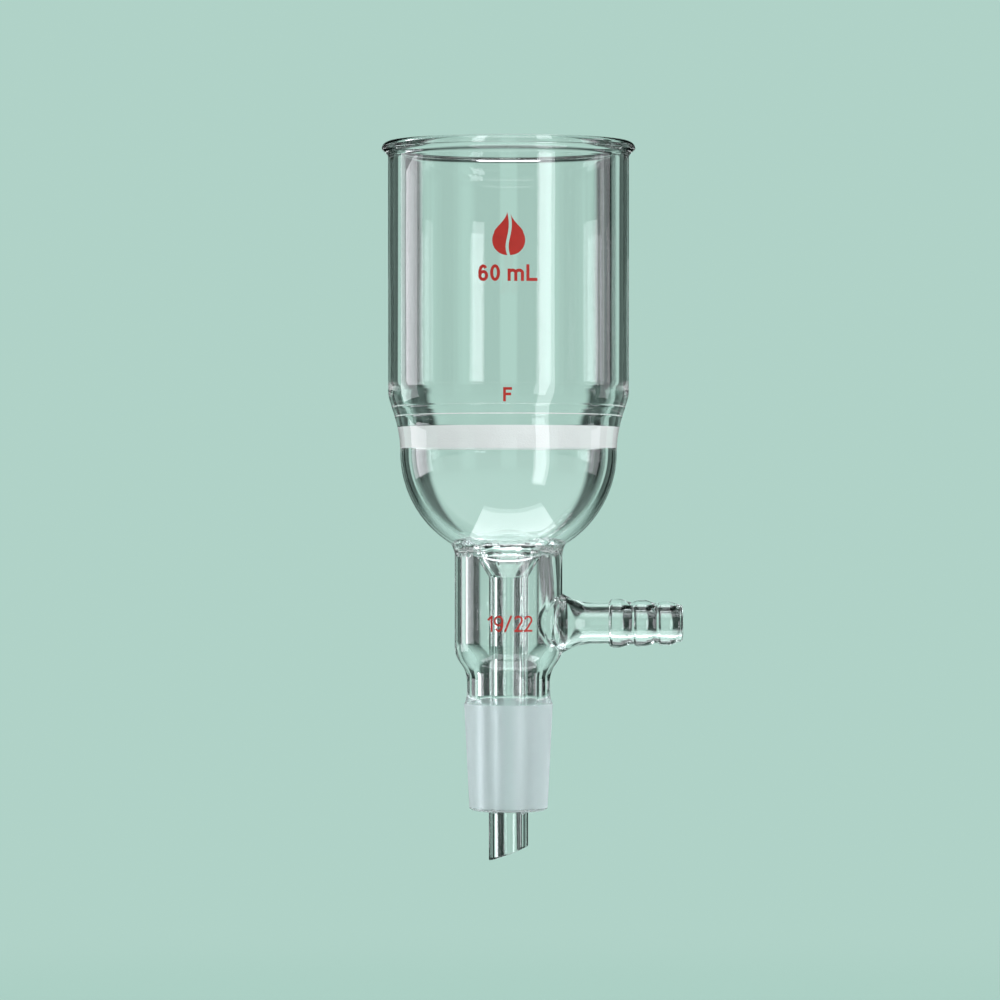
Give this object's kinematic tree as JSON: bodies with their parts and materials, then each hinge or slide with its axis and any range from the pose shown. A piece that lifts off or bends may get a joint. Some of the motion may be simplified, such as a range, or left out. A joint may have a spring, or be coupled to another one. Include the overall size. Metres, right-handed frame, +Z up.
{
  "type": "buchner funnel",
  "caption": "Glass filter funnel: straight beaded bowl over a sintered disc, round bottom, drip stem in a vacuum jacket with a barbed side arm and a ground taper cone.",
  "frame": {"origin": "centre of the ground cone's large end, its gauge plane, on the funnel's axis", "axes": "+Z up the funnel's axis to the open mouth, +X along the vacuum side arm, -Y towards the printed marks"},
  "size_m": [0.0638, 0.0538, 0.1524],
  "materials": {
    "clear_glass": "clear fire-polished borosilicate glass",
    "ground_glass": "frosted ground taper over clear glass",
    "sintered_glass": "fine white sintered glass, matt",
    "red_enamel": "fired red enamel print"
  },
  "bodies": {
    "root": {"bowl_barrel": "clear_glass", "disc_collar": "clear_glass", "frit_disc": "sintered_glass", "bowl_dome": "clear_glass", "ring_seal": "clear_glass", "drip_stem": "clear_glass", "vacuum_jacket": "clear_glass", "cone_joint": "ground_glass", "side_arm": "clear_glass", "hose_nozzle": "clear_glass", "emblem_mark": "red_enamel", "capacity_mark": "red_enamel", "porosity_mark": "red_enamel", "joint_size_mark": "red_enamel"}
  },
  "joints": []
}
